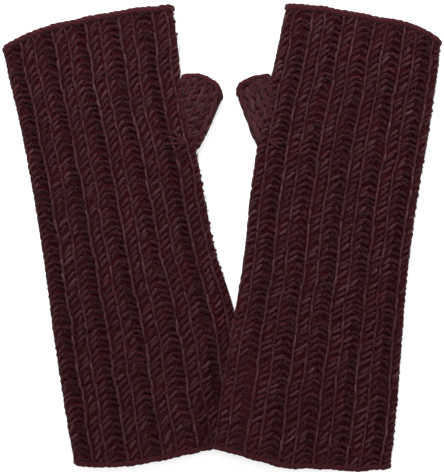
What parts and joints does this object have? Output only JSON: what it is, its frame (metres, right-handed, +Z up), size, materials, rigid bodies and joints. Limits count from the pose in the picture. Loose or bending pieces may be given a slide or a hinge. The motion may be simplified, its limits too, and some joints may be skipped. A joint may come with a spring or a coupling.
{
  "type": "fingerless gloves",
  "caption": "Pair of long ribbed knit fingerless gloves lying flat, with short open thumb sleeves; they fold at the wrist and the thumbs lift.",
  "frame": {"origin": "on the floor under the middle of the pair's bounding box", "axes": "+Y towards the finger openings, +X towards the right glove, +Z up from the surface the gloves lie on"},
  "size_m": [0.255, 0.2693, 0.0147],
  "materials": {
    "rib_knit": "matt wool rib knit, slightly hairy",
    "thumb_knit": "matt wool plain knit, slightly hairy",
    "edge_yarn": "matt wool cast-on and bind-off chain"
  },
  "bodies": {
    "left_forearm_body": {"left_cuff_edge": "edge_yarn", "left_forearm": "rib_knit"},
    "right_forearm_body": {"right_cuff_edge": "edge_yarn", "right_forearm": "rib_knit"},
    "left_hand_body": {"left_hand": "rib_knit", "left_hand_edge": "edge_yarn", "left_thumb_pickup": "thumb_knit"},
    "right_hand_body": {"right_hand": "rib_knit", "right_hand_edge": "edge_yarn", "right_thumb_pickup": "thumb_knit"},
    "left_thumb_body": {"left_thumb": "thumb_knit", "left_thumb_edge": "edge_yarn"},
    "right_thumb_body": {"right_thumb": "thumb_knit", "right_thumb_edge": "edge_yarn"}
  },
  "joints": [
    {"name": "left_wrist_fold", "type": "hinge", "parent": "left_forearm_body", "child": "left_hand_body", "pos_m": [-0.06, 0.04, 0.0144], "axis": [1, 0, 0], "range_deg": [0, 120]},
    {"name": "left_thumb_lift", "type": "hinge", "parent": "left_hand_body", "child": "left_thumb_body", "pos_m": [-0.01769, 0.07172, 0.0119], "axis": [0.2596, -0.9657, 0], "range_deg": [0, 90]},
    {"name": "right_glove_lift", "type": "slide", "parent": "left_forearm_body", "child": "right_forearm_body", "axis": [0, 0, 1], "range_m": [0, 0.15]},
    {"name": "right_wrist_fold", "type": "hinge", "parent": "right_forearm_body", "child": "right_hand_body", "pos_m": [0.065, 0.04, 0.0144], "axis": [1, 0, 0], "range_deg": [0, 120]},
    {"name": "right_thumb_lift", "type": "hinge", "parent": "right_hand_body", "child": "right_thumb_body", "pos_m": [0.02409, 0.07368, 0.0119], "axis": [0.2206, 0.9754, 0], "range_deg": [0, 90]}
  ]
}
